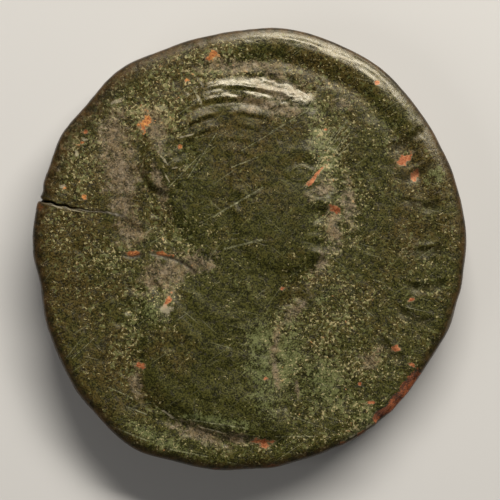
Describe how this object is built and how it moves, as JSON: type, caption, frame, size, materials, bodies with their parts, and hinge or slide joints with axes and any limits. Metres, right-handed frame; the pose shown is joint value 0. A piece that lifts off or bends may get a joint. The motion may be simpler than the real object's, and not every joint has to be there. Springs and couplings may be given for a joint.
{
  "type": "roman bronze coin",
  "caption": "Worn, slightly irregular struck bronze disc with a draped portrait bust facing right in low relief, a cracked flan and a plain draped figure on the reverse.",
  "frame": {"origin": "middle of the flan's bounding box in plan, on the plane the coin lies on, touching the flats of the reverse", "axes": "+Z out of the portrait side, along the thickness; +Y to the top of the portrait; +X the way the portrait faces"},
  "size_m": [0.0308, 0.0314, 0.0041],
  "materials": {
    "bronze_patina": "worn dark olive patina"
  },
  "bodies": {
    "root": {"coin": "bronze_patina"}
  },
  "joints": []
}
